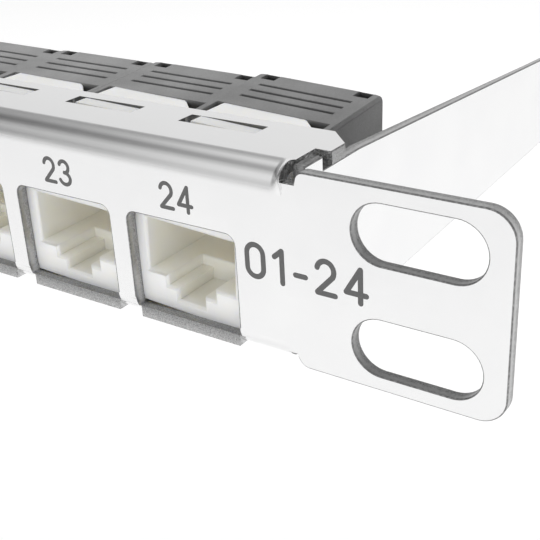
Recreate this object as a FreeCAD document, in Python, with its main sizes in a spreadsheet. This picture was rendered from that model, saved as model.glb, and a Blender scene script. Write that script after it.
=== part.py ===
import FreeCAD, Part
import os
import re
import Sketcher

# Half-height 19-inch patch panel: 24 RJ45 jacks in a folded steel front, with a cable bar behind.
# Frame: origin at the centre of the four rack slots, on the front face. +X is to the right seen from
# the front, the front faces -Y and +Z is up. Lengths are in millimetres.

DIMENSIONS = [
    ("panel_width", 482.6, "across both rack ears"),
    ("panel_height", 22.0, "half of a rack unit, less clearance"),
    ("sheet", 1.4, "steel thickness of the front, the ears and the arms"),
    ("body_width", 433.7, "length of the folded body between the ears"),
    ("flange_depth", 12.25, "front face to the rear edge of either flange"),
    ("top_bend", 2.95, "outer radius of the upper bend"),
    ("bottom_bend", 2.6, "outer radius of the lower bend"),
    ("ear_corner", 3.0, "outer corners of the ears"),
    ("slot_inset", 9.55, "rack slot centre from the outer edge"),
    ("slot_spacing", 12.3, "between the two slots of one ear"),
    ("slot_length", 14.0, "rack slot, end to end"),
    ("slot_height", 6.4, "rack slot width"),
    ("notch_width", 1.6, "relief between the upper bend and the ear"),
    ("notch_floor", 9.5, "level of the upper relief"),
    ("foot_width", 1.25, "relief between the lower bend and the ear"),
    ("foot_level", -9.55, "level of the lower relief"),
    ("notch_corner", 1.0, "ear corner beside the upper relief"),
    ("foot_corner", 1.4, "ear corner beside the lower relief"),
    ("port_pitch", 17.667, "between neighbouring ports"),
    ("port_count", 24, "ports in the row"),
    ("window_width", 14.95, "port window"),
    ("window_top", 2.5, "upper edge of the port window"),
    ("window_corner", 1.2, "upper corners of the port window"),
    ("lip_front", 0.3, "front edge of the lower flange inside a window"),
    ("lip_gap", 0.4, "between that edge and the side of the window"),
    ("latch_slot_width", 10.6, "flange slot that a jack's lug snaps into"),
    ("latch_slot_front", 7.8, "front edge of that slot"),
    ("latch_slot_rear", 10.4, "rear edge of that slot"),
    ("tab_length", 2.0, "flange tab over the arm"),
    ("tab_front", 6.6, "front edge of the tab"),
    ("tab_chamfer", 3.0, "rear corner of the tab"),
    ("arm_depth", 159.0, "front face to the rear end of the arms"),
    ("arm_step", 4.85, "where the arm's raised front part ends"),
    ("arm_taper_end", 126.0, "where the taper ends and the level rear part starts"),
    ("arm_rear_top", 2.6, "upper edge of the arm's rear part"),
    ("arm_rear_bottom", -4.9, "lower edge of the arm's rear part"),
    ("arm_root_bottom", -9.0, "lower edge of the arm just behind the body"),
    ("arm_corner", 3.0, "rear corners of the arm"),
    ("bar_sheet", 1.2, "steel thickness of the cable bar"),
    ("bar_front", 137.0, "front edge of the cable bar"),
    ("bar_rear", 155.0, "rear edge of the cable bar"),
    ("bar_top", 2.6, "upper face of the cable bar"),
    ("bar_lip", 2.4, "height of the bar's front and rear lips"),
    ("bar_bend", 2.0, "outer bend radius of the bar"),
    ("bar_tab_height", 7.2, "end tabs that lie against the arms"),
    ("bar_tab_inset", 2.4, "end tab's front and rear edges from the bar's"),
    ("tie_slot_width", 5.0, "cable tie slot along the bar"),
    ("tie_slot_depth", 2.2, "cable tie slot across the bar"),
    ("tie_slot_offset", 5.6, "tie slots each side of the bar's middle"),
    ("rivet_shank", 1.6, "shank radius"),
    ("rivet_head", 2.7, "head radius"),
    ("rivet_tail_radius", 2.2, "radius of the set tail"),
    ("rivet_dome", 0.9, "height of the domed head"),
    ("rivet_tail", 0.8, "height of the set tail"),
    ("rivet_spacing", 8.6, "between the two rivets of one arm"),
    ("jack_front", 1.5, "front face of the jack"),
    ("jack_rear", 18.5, "rear end of the jack's body"),
    ("jack_shoulder", 12.4, "rear end of its wide front part"),
    ("jack_width", 14.8, "its upright middle part"),
    ("jack_wing", 17.0, "across the wings behind the window's sides"),
    ("jack_wing_top", 7.8, "upper end of the wings"),
    ("jack_wing_bottom", -8.1, "lower end of the wings"),
    ("jack_top", 9.55, "upper face under the flange"),
    ("jack_crown", 9.75, "upper face behind the flange"),
    ("jack_tail_width", 14.0, "across the rear part"),
    ("jack_tail_bottom", -9.3, "underside of the rear part"),
    ("jack_bevel", 1.1, "front edge under the upper bend"),
    ("jack_tail_bevel", 2.3, "rear corner on the right"),
    ("lug_width", 9.6, "latch lug in the flange slot"),
    ("lug_front", 8.1, "front face of the lug"),
    ("lug_rear", 10.0, "rear face of the lug"),
    ("lug_top", 10.5, "upper face of the lug"),
    ("cavity_width", 12.1, "plug cavity"),
    ("cavity_top", 1.05, "its ceiling"),
    ("cavity_floor", -5.45, "its floor at the sides"),
    ("cavity_depth", 11.0, "front face to its rear wall"),
    ("latch_step_width", 6.7, "upper step of the plug's latch channel"),
    ("latch_step_floor", -6.85, "floor of that step"),
    ("latch_channel_width", 3.6, "lower step of the latch channel"),
    ("latch_channel_floor", -8.3, "floor of that step"),
    ("latch_channel_depth", 6.6, "front face to the channel's rear wall"),
    ("board_room_width", 11.8, "rear pocket for the board and the block"),
    ("board_room_height", 15.0, "rear pocket for the board and the block"),
    ("board_room_front", 14.5, "front wall of the rear pocket"),
    ("wire_window_width", 8.4, "opening for the contact wires"),
    ("wire_window_top", 0.95, "opening for the contact wires"),
    ("wire_window_bottom", -0.15, "opening for the contact wires"),
    ("cap_width", 17.4, "termination cap"),
    ("cap_wall", 1.3, "its walls behind the jack"),
    ("cap_rail", 0.7, "its side walls beside the jack"),
    ("cap_front", 18.8, "front edge of its top"),
    ("cap_rail_front", 12.7, "front edge of its side walls"),
    ("cap_rear", 30.1, "rear face"),
    ("cap_top", 9.85, "upper face"),
    ("cap_bottom", -9.4, "underside"),
    ("cap_round", 1.2, "rear edges"),
    ("groove_length", 12.9, "grip groove"),
    ("groove_width", 0.36, "grip groove"),
    ("groove_depth", 0.5, "grip groove"),
    ("groove_middle", 23.85, "middle groove from the front face"),
    ("groove_pitch", 2.05, "between the grip grooves"),
    ("pocket_width", 1.85, "catch pocket at each rear corner"),
    ("pocket_front", 27.9, "front edge of the catch pocket"),
    ("pocket_rear", 29.5, "rear edge of the catch pocket"),
    ("pocket_depth", 2.2, "catch pocket, through the top into the hollow"),
    ("pocket_offset", 6.8, "catch pocket from the cap's middle"),
    ("pair_slot_width", 12.0, "slot for the wire pairs in the rear wall"),
    ("pair_slot_height", 3.6, "slot for the wire pairs in the rear wall"),
    ("board_gap", 0.1, "between the jack and its circuit board"),
    ("board_thickness", 1.4, "circuit board"),
    ("board_height", 14.6, "circuit board"),
    ("board_width", 11.4, "circuit board"),
    ("block_width", 11.4, "insulation-displacement block"),
    ("block_height", 14.6, "insulation-displacement block"),
    ("block_rear", 25.5, "rear face of the block"),
    ("blade_pitch", 2.7, "between the four wire slots of one row"),
    ("blade_row", 4.6, "blade rows above and below the middle"),
    ("blade_width", 2.0, "blade"),
    ("blade_thickness", 0.5, "blade"),
    ("blade_seat", 1.0, "thickness of the block in front of the blades"),
    ("blade_rear", 23.4, "tips of the blades"),
    ("blade_fork", 0.3, "gap between a blade's tines"),
    ("wire_slot_width", 1.1, "slot that a conductor is pressed into"),
    ("wire_slot_front", 19.6, "bottom of that slot"),
    ("wire_slot_inner", 1.4, "inner end of that slot, above and below the middle"),
    ("contact_pitch", 1.016, "between the contact wires"),
    ("contact_wire", 0.36, "side of the square contact wire"),
    ("contact_level", 0.4, "contact wire under the ceiling"),
    ("contact_bend_place", 8.2, "front of the contact wire's bend"),
    ("contact_tip_place", 11.9, "free end of the contact wire"),
    ("contact_tip_level", -1.9, "free end of the contact wire"),
]


# ---------------------------------------------------------------- document and sheet

def make_sheet(doc):
    """Put every driving dimension in the spreadsheet, one per row."""
    sheet = doc.addObject("Spreadsheet::Sheet", "sizes")
    for row, (alias, value, note) in enumerate(DIMENSIONS, start=1):
        sheet.set(f"A{row}", alias)
        sheet.set(f"B{row}", str(value))
        sheet.set(f"C{row}", note)
        sheet.setAlias(f"B{row}", alias)
    doc.recompute()
    return sheet


def read_sizes(sheet):
    """The dimensions as numbers, for the few shapes that code works out."""
    return {alias: float(getattr(sheet, alias)) for alias, _, _ in DIMENSIONS}


ALIASES = {alias for alias, _, _ in DIMENSIONS}


def formula(text):
    """Turn bare dimension names into references to the sheet."""
    def refer(match):
        word = match.group()
        return f"sizes.{word}" if word in ALIASES else word
    return re.sub(r"[a-z_]+", refer, str(text))


# ---------------------------------------------------------------- feature helpers

PLANE_OF_AXIS = {"x": "YZ_Plane", "y": "XZ_Plane", "z": "XY_Plane"}


def make_body(doc, label):
    body = doc.addObject("PartDesign::Body", label)
    body.Label = label
    return body


def origin_feature(body, role):
    return next(item for item in body.Origin.OriginFeatures if item.Role == role)


def make_sketch(body, name, normal, place="0"):
    """A sketch square to an axis of the body, at a place along that axis."""
    sketch = body.newObject("Sketcher::SketchObject", name)
    sketch.AttachmentSupport = [(origin_feature(body, PLANE_OF_AXIS[normal]), "")]
    sketch.MapMode = "FlatFace"
    sign = "-1" if normal == "y" else "1"   # the XZ plane looks towards -Y
    sketch.setExpression("AttachmentOffset.Base.z", formula(f"{sign} * ({place})"))
    return sketch


def pin_point(sketch, geometry, vertex, across, up):
    """Hold a point at two formulas, measured from the sketch's origin."""
    for kind, text in (("DistanceX", across), ("DistanceY", up)):
        index = sketch.addConstraint(Sketcher.Constraint(kind, -1, 1, geometry, vertex, 1.0))
        sketch.setExpression(f"Constraints[{index}]", formula(text))


def add_outline(sketch, corners):
    """A closed polygon whose corners are pairs of formulas."""
    first = sketch.GeometryCount
    count = len(corners)
    for step in range(count):
        start = FreeCAD.Vector(step, step * step, 0)
        end = FreeCAD.Vector((step + 1) % count, ((step + 1) % count) ** 2, 0)
        sketch.addGeometry(Part.LineSegment(start, end), False)
    for step, (across, up) in enumerate(corners):
        after = first + (step + 1) % count
        sketch.addConstraint(Sketcher.Constraint("Coincident", first + step, 2, after, 1))
        pin_point(sketch, first + step, 1, across, up)


def add_box_outline(sketch, left, right, low, high):
    add_outline(sketch, [(left, low), (right, low), (right, high), (left, high)])


def add_circle(sketch, across, up, radius):
    circle = sketch.addGeometry(Part.Circle(FreeCAD.Vector(1, 1, 0), FreeCAD.Vector(0, 0, 1), 1), False)
    pin_point(sketch, circle, 3, across, up)
    index = sketch.addConstraint(Sketcher.Constraint("Radius", circle, 1.0))
    sketch.setExpression(f"Constraints[{index}]", formula(radius))


def extrude(body, kind, name, sketch, length, symmetric=False, reverse=False):
    feature = body.newObject(f"PartDesign::{kind}", name)
    feature.Profile = sketch
    feature.SideType = "Symmetric" if symmetric else "One side"
    feature.Reversed = reverse
    feature.setExpression("Length", formula(length))
    sketch.Visibility = False
    return feature


def pad(body, name, sketch, length, **options):
    return extrude(body, "Pad", name, sketch, length, **options)


def pocket(body, name, sketch, length, **options):
    return extrude(body, "Pocket", name, sketch, length, **options)


def edges_where(shape, test):
    """Names of the straight edges whose two ends pass a test."""
    names = []
    for number, edge in enumerate(shape.Edges, start=1):
        if len(edge.Vertexes) != 2 or not isinstance(edge.Curve, Part.Line):
            continue
        start, end = (vertex.Point for vertex in edge.Vertexes)
        if test(start, end):
            names.append(f"Edge{number}")
    return names


def dress(body, kind, name, size, test):
    """Round or bevel the edges that pass a test, all by one size."""
    body.Document.recompute()
    base = body.Tip
    names = edges_where(base.Shape, test)
    if not names:
        raise RuntimeError(f"{body.Label}: {name} found no edge")
    feature = body.newObject(f"PartDesign::{kind}", name)
    feature.Base = (base, names)
    feature.setExpression("Radius" if kind == "Fillet" else "Size", formula(size))
    return feature


def near(value, target, margin=0.02):
    return abs(value - target) < margin


def along(axis, **places):
    """Edges parallel to an axis that lie at the given places; several places may be listed."""
    others = [name for name in "xyz" if name != axis]

    def test(start, end):
        if any(not near(getattr(start, name), getattr(end, name)) for name in others):
            return False
        for name, wanted in places.items():
            targets = wanted if isinstance(wanted, (list, tuple)) else [wanted]
            if not any(near(getattr(start, name), target) for target in targets):
                return False
        return True
    return test


# ---------------------------------------------------------------- front panel

def add_channel(body, size):
    """The folded middle: a front web with a flange bent back at its top and bottom."""
    sketch = make_sketch(body, "channel_profile", "x")
    top, inner_top = "panel_height / 2", "panel_height / 2 - sheet"
    add_outline(sketch, [
        ("0", f"-({top})"), ("flange_depth", f"-({top})"),
        ("flange_depth", f"-({inner_top})"), ("sheet", f"-({inner_top})"),
        ("sheet", inner_top), ("flange_depth", inner_top),
        ("flange_depth", top), ("0", top)])
    pad(body, "channel", sketch, "body_width", symmetric=True)
    half = size["panel_height"] / 2
    inside = half - size["sheet"]
    dress(body, "Fillet", "upper_bend_outside", "top_bend", along("x", y=0, z=half))
    dress(body, "Fillet", "upper_bend_inside", "top_bend - sheet", along("x", y=size["sheet"], z=inside))
    dress(body, "Fillet", "lower_bend_outside", "bottom_bend", along("x", y=0, z=-half))
    dress(body, "Fillet", "lower_bend_inside", "bottom_bend - sheet",
          along("x", y=size["sheet"], z=-inside))


def add_ears(body, size):
    """Flat ears on both ends, with a relief beside each bend."""
    sketch = make_sketch(body, "ear_outlines", "y")
    for side in ("1", "-1"):
        root = f"{side} * body_width / 2"
        tip = f"{side} * panel_width / 2"
        notch = f"{side} * (body_width / 2 + notch_width)"
        foot = f"{side} * (body_width / 2 + foot_width)"
        add_outline(sketch, [
            (root, "foot_level"), (foot, "foot_level"), (foot, "-panel_height / 2"),
            (tip, "-panel_height / 2"), (tip, "panel_height / 2"),
            (notch, "panel_height / 2"), (notch, "notch_floor"), (root, "notch_floor")])
    pad(body, "ears", sketch, "sheet", reverse=True)
    half_width = size["panel_width"] / 2
    half_height = size["panel_height"] / 2
    notch = size["body_width"] / 2 + size["notch_width"]
    foot = size["body_width"] / 2 + size["foot_width"]
    dress(body, "Fillet", "ear_corners", "ear_corner", along("y", x=(-half_width, half_width)))
    dress(body, "Fillet", "notch_corners", "notch_corner", along("y", x=(-notch, notch), z=half_height))
    dress(body, "Fillet", "foot_corners", "foot_corner", along("y", x=(-foot, foot), z=-half_height))


def add_rack_slots(body):
    """Two level slots in each ear: a round hole at each end, joined by a box."""
    ends = make_sketch(body, "rack_slot_ends", "y")
    middles = make_sketch(body, "rack_slot_middles", "y")
    reach = "(slot_length - slot_height) / 2"
    for side in ("1", "-1"):
        for level in ("1", "-1"):
            centre = f"{side} * (panel_width / 2 - slot_inset)"
            height = f"{level} * slot_spacing / 2"
            for end in ("1", "-1"):
                add_circle(ends, f"{centre} + {end} * {reach}", height, "slot_height / 2")
            add_box_outline(middles, f"{centre} - {reach}", f"{centre} + {reach}",
                            f"{height} - slot_height / 2", f"{height} + slot_height / 2")
    pocket(body, "slot_middles", middles, "sheet")
    pocket(body, "slot_ends", ends, "sheet")


def add_windows(body, size):
    """The row of port windows, each with its latch slots and the cut edge of the lower flange."""
    first = "-(port_count - 1) / 2 * port_pitch"
    window = make_sketch(body, "window_outline", "y")
    inner_floor = "sheet - panel_height / 2"
    add_box_outline(window, f"{first} - window_width / 2", f"{first} + window_width / 2",
                    inner_floor, "window_top")
    cut = pocket(body, "window", window, "bottom_bend")

    lip = make_sketch(body, "lip_outline", "z", "-panel_height / 2")
    reach = "window_width / 2 - lip_gap"
    add_box_outline(lip, f"{first} - ({reach})", f"{first} + ({reach})", "lip_front", "bottom_bend + sheet")
    edge = pad(body, "lip", lip, "sheet")

    latch = make_sketch(body, "latch_slot_outline", "z")
    add_box_outline(latch, f"{first} - latch_slot_width / 2", f"{first} + latch_slot_width / 2",
                    "latch_slot_front", "latch_slot_rear")
    slots = pocket(body, "latch_slots", latch, "panel_height", symmetric=True)

    row = body.newObject("PartDesign::LinearPattern", "port_row")
    row.Originals = [cut, edge, slots]
    row.Direction = (origin_feature(body, "X_Axis"), [""])
    row.setExpression("Length", formula("(port_count - 1) * port_pitch"))
    row.setExpression("Occurrences", formula("port_count"))
    body.Tip = row
    dress(body, "Fillet", "window_corners", "window_corner", along("y", z=size["window_top"]))


def add_tabs(body, size):
    """Flange ends that reach over and under the arms, bevelled at the rear."""
    half = size["panel_height"] / 2
    for name, place in (("upper", "panel_height / 2 - sheet"), ("lower", "-panel_height / 2")):
        sketch = make_sketch(body, f"{name}_tab_outlines", "z", place)
        for side in ("1", "-1"):
            root = f"{side} * body_width / 2"
            tip = f"{side} * (body_width / 2 + tab_length)"
            add_outline(sketch, [(root, "tab_front"), (tip, "tab_front"),
                                 (tip, "flange_depth"), (root, "flange_depth")])
        pad(body, f"{name}_tabs", sketch, "sheet")
    tip = size["body_width"] / 2 + size["tab_length"]
    dress(body, "Chamfer", "tab_bevels", "tab_chamfer",
          along("z", x=(-tip, tip), y=size["flange_depth"]))


def front_panel(doc, size):
    body = make_body(doc, "front_panel")
    add_channel(body, size)
    add_ears(body, size)
    add_rack_slots(body)
    add_tabs(body, size)
    add_windows(body, size)
    return body


# ---------------------------------------------------------------- arms, bar and rivets

def side_arm(doc, label, side, size):
    """An upright plate: raised in the ear's relief, stepped under the tab, tapered, then level."""
    body = make_body(doc, label)
    inner = "body_width / 2 + tab_length - sheet"
    place = inner if side > 0 else f"-({inner}) - sheet"
    sketch = make_sketch(body, "arm_profile", "x", place)
    under_tab = "panel_height / 2 - sheet"
    add_outline(sketch, [
        ("sheet", f"-({under_tab})"), ("flange_depth", f"-({under_tab})"),
        ("flange_depth", "arm_root_bottom"), ("arm_taper_end", "arm_rear_bottom"),
        ("arm_depth", "arm_rear_bottom"), ("arm_depth", "arm_rear_top"),
        ("arm_taper_end", "arm_rear_top"), ("flange_depth", under_tab),
        ("arm_step", under_tab), ("arm_step", "panel_height / 2"), ("sheet", "panel_height / 2")])
    pad(body, "plate", sketch, "sheet")
    dress(body, "Fillet", "rear_corners", "arm_corner", along("x", y=size["arm_depth"]))
    holes = make_sketch(body, "rivet_holes", "x", place)
    for step in ("1", "-1"):
        add_circle(holes, f"(bar_front + bar_rear) / 2 + {step} * rivet_spacing / 2",
                   "bar_top - bar_tab_height / 2", "rivet_shank")
    pocket(body, "holes", holes, "sheet", reverse=True)
    return body


def cable_bar(doc, size):
    """A shallow folded bar that cables are tied down to, with an end tab against each arm."""
    body = make_body(doc, "cable_bar")
    inner_span = "(body_width + 2 * tab_length - 2 * sheet)"
    profile = make_sketch(body, "bar_profile", "x")
    under = "bar_top - bar_sheet"
    low = "bar_top - bar_lip"
    add_outline(profile, [
        ("bar_front", low), ("bar_front + bar_sheet", low), ("bar_front + bar_sheet", under),
        ("bar_rear - bar_sheet", under), ("bar_rear - bar_sheet", low), ("bar_rear", low),
        ("bar_rear", "bar_top"), ("bar_front", "bar_top")])
    pad(body, "bar", profile, f"{inner_span} - 2 * bar_sheet", symmetric=True)
    front, rear, top = size["bar_front"], size["bar_rear"], size["bar_top"]
    thick = size["bar_sheet"]
    dress(body, "Fillet", "bends_outside", "bar_bend", along("x", y=(front, rear), z=top))
    dress(body, "Fillet", "bends_inside", "bar_bend - bar_sheet",
          along("x", y=(front + thick, rear - thick), z=top - thick))

    for side, place in (("right", f"{inner_span} / 2 - bar_sheet"), ("left", f"-{inner_span} / 2")):
        tab = make_sketch(body, f"{side}_tab_outline", "x", place)
        add_box_outline(tab, "bar_front + bar_tab_inset", "bar_rear - bar_tab_inset",
                        "bar_top - bar_tab_height", "bar_top")
        pad(body, f"{side}_tab", tab, "bar_sheet")
    half_span = size["body_width"] / 2 + size["tab_length"] - size["sheet"]
    dress(body, "Fillet", "tab_corners", "bar_bend",
          along("x", y=(front + size["bar_tab_inset"], rear - size["bar_tab_inset"]),
                z=top - size["bar_tab_height"]))
    dress(body, "Fillet", "tab_bends", "bar_bend - bar_sheet",
          along("y", x=(-half_span, half_span), z=top))
    holes = make_sketch(body, "rivet_holes", "x")
    for step in ("1", "-1"):
        add_circle(holes, f"(bar_front + bar_rear) / 2 + {step} * rivet_spacing / 2",
                   "bar_top - bar_tab_height / 2", "rivet_shank")
    pocket(body, "holes", holes, "body_width + 2 * tab_length", symmetric=True)

    first = "-(port_count - 1) / 2 * port_pitch"
    slots = make_sketch(body, "tie_slot_outlines", "z")
    for step in ("1", "-1"):
        middle = f"(bar_front + bar_rear) / 2 + {step} * tie_slot_offset"
        add_box_outline(slots, f"{first} - tie_slot_width / 2", f"{first} + tie_slot_width / 2",
                        f"{middle} - tie_slot_depth / 2", f"{middle} + tie_slot_depth / 2")
    cut = pocket(body, "tie_slots", slots, "panel_height", symmetric=True)
    row = body.newObject("PartDesign::LinearPattern", "tie_slot_row")
    row.Originals = [cut]
    row.Direction = (origin_feature(body, "X_Axis"), [""])
    row.setExpression("Length", formula("(port_count - 1) * port_pitch"))
    row.setExpression("Occurrences", formula("port_count"))
    body.Tip = row
    return body


def bar_rivets(doc, size):
    """Four rivets, each with a domed head outside the arm and a flat tail inside the tab."""
    outer = size["body_width"] / 2 + size["tab_length"]
    inner = outer - size["sheet"] - size["bar_sheet"]
    middle = (size["bar_front"] + size["bar_rear"]) / 2
    level = size["bar_top"] - size["bar_tab_height"] / 2
    head, dome = size["rivet_head"], size["rivet_dome"]
    ball = (head ** 2 + dome ** 2) / (2 * dome)
    rivets = []
    for side in (1, -1):
        axis = FreeCAD.Vector(side, 0, 0)
        for step in (1, -1):
            place = middle + step * size["rivet_spacing"] / 2
            inside = FreeCAD.Vector(side * inner, place, level)
            outside = FreeCAD.Vector(side * outer, place, level)
            shank = Part.makeCylinder(size["rivet_shank"], outer - inner, inside, axis)
            tail = Part.makeCylinder(size["rivet_tail_radius"], size["rivet_tail"],
                                     inside - axis * size["rivet_tail"], axis)
            sphere = Part.makeSphere(ball, outside - axis * (ball - dome))
            cap = sphere.common(Part.makeCylinder(head, dome, outside, axis))
            rivets.append(shank.fuse([tail, cap]).removeSplitter())
    group = doc.addObject("Part::Feature", "bar_rivets")
    group.Shape = Part.makeCompound(rivets)
    group.Label = "bar_rivets"
    group.Placement = FreeCAD.Placement()
    return group


# ---------------------------------------------------------------- jacks

def place_at_port(body, number):
    """Stand a body, modelled about its own middle, at its port."""
    body.setExpression("Placement.Base.x", formula(f"({number} - (port_count + 1) / 2) * port_pitch"))


def jack_housing(doc, number, size):
    """White jack body: wide front behind the window, narrow tail, latch lug, plug cavity, rear pocket."""
    body = make_body(doc, f"jack_housing_{number:02d}")

    middle = make_sketch(body, "middle_outline", "y", "jack_front")
    add_box_outline(middle, "-jack_width / 2", "jack_width / 2", "sheet - panel_height / 2", "jack_top")
    pad(body, "middle", middle, "jack_shoulder - jack_front", reverse=True)
    dress(body, "Chamfer", "front_bevel", "jack_bevel",
          along("x", y=size["jack_front"], z=size["jack_top"]))

    wings = make_sketch(body, "wing_outline", "y", "jack_front")
    add_box_outline(wings, "-jack_wing / 2", "jack_wing / 2", "jack_wing_bottom", "jack_wing_top")
    pad(body, "wings", wings, "jack_shoulder - jack_front", reverse=True)

    tail = make_sketch(body, "tail_outline", "y", "jack_shoulder")
    add_box_outline(tail, "-jack_tail_width / 2", "jack_tail_width / 2", "jack_tail_bottom", "jack_crown")
    pad(body, "tail", tail, "jack_rear - jack_shoulder", reverse=True)
    dress(body, "Chamfer", "tail_bevel", "jack_tail_bevel",
          along("z", x=size["jack_tail_width"] / 2, y=size["jack_rear"]))

    for name, place, level in (("upper", "jack_top", 1), ("lower", "-lug_top", -1)):
        lug = make_sketch(body, f"{name}_lug_outline", "z", place)
        add_box_outline(lug, "-lug_width / 2", "lug_width / 2", "lug_front", "lug_rear")
        pad(body, f"{name}_lug", lug, "lug_top - jack_top")

    cavity = make_sketch(body, "cavity_outline", "y", "jack_front")
    add_box_outline(cavity, "-cavity_width / 2", "cavity_width / 2", "cavity_floor", "cavity_top")
    pocket(body, "cavity", cavity, "cavity_depth")

    channel = make_sketch(body, "latch_channel_outline", "y", "jack_front")
    add_outline(channel, [
        ("-latch_step_width / 2", "cavity_floor"), ("-latch_step_width / 2", "latch_step_floor"),
        ("-latch_channel_width / 2", "latch_step_floor"),
        ("-latch_channel_width / 2", "latch_channel_floor"),
        ("latch_channel_width / 2", "latch_channel_floor"),
        ("latch_channel_width / 2", "latch_step_floor"),
        ("latch_step_width / 2", "latch_step_floor"), ("latch_step_width / 2", "cavity_floor")])
    pocket(body, "latch_channel", channel, "latch_channel_depth")

    wires = make_sketch(body, "wire_window_outline", "y", "jack_front")
    add_box_outline(wires, "-wire_window_width / 2", "wire_window_width / 2",
                    "wire_window_bottom", "wire_window_top")
    pocket(body, "wire_window", wires, "board_room_front - jack_front")

    room = make_sketch(body, "board_room_outline", "y", "board_room_front")
    add_box_outline(room, "-board_room_width / 2", "board_room_width / 2",
                    "-board_room_height / 2", "board_room_height / 2")
    pocket(body, "board_room", room, "jack_rear - board_room_front")
    place_at_port(body, number)
    return body


def termination_cap(doc, number, size):
    """Black cap: open at the front, it slides over the block; its side walls run on beside the jack."""
    body = make_body(doc, f"termination_cap_{number:02d}")
    shell = make_sketch(body, "shell_outline", "y", "cap_rail_front")
    add_box_outline(shell, "-cap_width / 2", "cap_width / 2", "cap_bottom", "cap_top")
    pad(body, "shell", shell, "cap_rear - cap_rail_front", reverse=True)
    dress(body, "Fillet", "rear_edges", "cap_round",
          along("x", y=size["cap_rear"], z=(size["cap_bottom"], size["cap_top"])))

    between = make_sketch(body, "between_rails", "y", "cap_rail_front")
    reach = "cap_width / 2 - cap_rail"
    add_box_outline(between, f"-({reach})", reach, "cap_bottom", "cap_top")
    pocket(body, "jack_room", between, "cap_front - cap_rail_front")

    hollow = make_sketch(body, "hollow_outline", "y", "cap_front")
    side = "cap_width / 2 - cap_wall"
    add_box_outline(hollow, f"-({side})", side, "cap_bottom + cap_wall", "cap_top - cap_wall")
    pocket(body, "block_room", hollow, "cap_rear - cap_wall - cap_front")

    grooves = make_sketch(body, "groove_outlines", "z", "cap_top")
    for step in (-1, 0, 1):
        middle = f"groove_middle + {step} * groove_pitch"
        add_box_outline(grooves, "-groove_length / 2", "groove_length / 2",
                        f"{middle} - groove_width / 2", f"{middle} + groove_width / 2")
    pocket(body, "grooves", grooves, "groove_depth")

    catches = make_sketch(body, "catch_outlines", "z", "cap_top")
    for hand in ("1", "-1"):
        centre = f"{hand} * pocket_offset"
        add_box_outline(catches, f"{centre} - pocket_width / 2", f"{centre} + pocket_width / 2",
                        "pocket_front", "pocket_rear")
    pocket(body, "catches", catches, "pocket_depth")

    slot = make_sketch(body, "pair_slot_outline", "y", "cap_rear - cap_wall")
    add_box_outline(slot, "-pair_slot_width / 2", "pair_slot_width / 2",
                    "-pair_slot_height / 2", "pair_slot_height / 2")
    pocket(body, "pair_slot", slot, "cap_wall")
    place_at_port(body, number)
    return body


# ---------------------------------------------------------------- inside the jacks

def box(left, right, front, rear, low, high):
    corner = FreeCAD.Vector(left, front, low)
    return Part.makeBox(right - left, rear - front, high - low, corner)


def port_places(size):
    count = int(size["port_count"])
    return [(number - (count - 1) / 2) * size["port_pitch"] for number in range(count)]


def repeat_at_ports(doc, label, solids, size):
    """A group node: the same solids at every port."""
    copies = []
    for place in port_places(size):
        copies += [solid.translated(FreeCAD.Vector(place, 0, 0)) for solid in solids]
    group = doc.addObject("Part::Feature", label)
    group.Shape = Part.makeCompound(copies)
    group.Label = label
    group.Placement = FreeCAD.Placement()
    return group


def board_front(size):
    return size["board_room_front"] + size["board_gap"]


def block_front(size):
    return board_front(size) + size["board_thickness"]


def circuit_boards(doc, size):
    """The board that joins the contact wires to the blades, upright behind the cavity."""
    front = board_front(size)
    half_width, half_height = size["board_width"] / 2, size["board_height"] / 2
    board = box(-half_width, half_width, front, block_front(size), -half_height, half_height)
    return repeat_at_ports(doc, "circuit_boards", [board], size)


BLADES_IN_ROW = 4


def blade_places(size):
    """Middles of the eight blades: four across, above and below."""
    across = [(step - (BLADES_IN_ROW - 1) / 2) * size["blade_pitch"] for step in range(BLADES_IN_ROW)]
    return [(place, level) for level in (size["blade_row"], -size["blade_row"]) for place in across]


def idc_blades(doc, size):
    """Forked blades that cut through a conductor's insulation."""
    front = block_front(size) + size["blade_seat"]
    half_width, half_thick = size["blade_width"] / 2, size["blade_thickness"] / 2
    half_fork = size["blade_fork"] / 2
    blades = []
    for place, level in blade_places(size):
        plate = box(place - half_width, place + half_width, front, size["blade_rear"],
                    level - half_thick, level + half_thick)
        gap = box(place - half_fork, place + half_fork, size["wire_slot_front"], size["blade_rear"],
                  level - half_thick, level + half_thick)
        blades.append(plate.cut(gap))
    return repeat_at_ports(doc, "idc_blades", blades, size)


def idc_blocks(doc, size):
    """The block that holds the blades, with a slot for each conductor."""
    half_width, half_height = size["block_width"] / 2, size["block_height"] / 2
    block = box(-half_width, half_width, block_front(size), size["block_rear"],
                -half_height, half_height)
    seat = block_front(size) + size["blade_seat"]
    half_slot = size["wire_slot_width"] / 2
    half_blade, half_thick = size["blade_width"] / 2, size["blade_thickness"] / 2
    inner = size["wire_slot_inner"]
    cuts = []
    for place, level in blade_places(size):
        low, high = (inner, half_height) if level > 0 else (-half_height, -inner)
        cuts.append(box(place - half_slot, place + half_slot, size["wire_slot_front"],
                        size["block_rear"], low, high))
        cuts.append(box(place - half_blade, place + half_blade, seat, size["block_rear"],
                        level - half_thick, level + half_thick))
    return repeat_at_ports(doc, "idc_blocks", [block.cut(cuts)], size)


CONTACT_COUNT = 8


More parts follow.
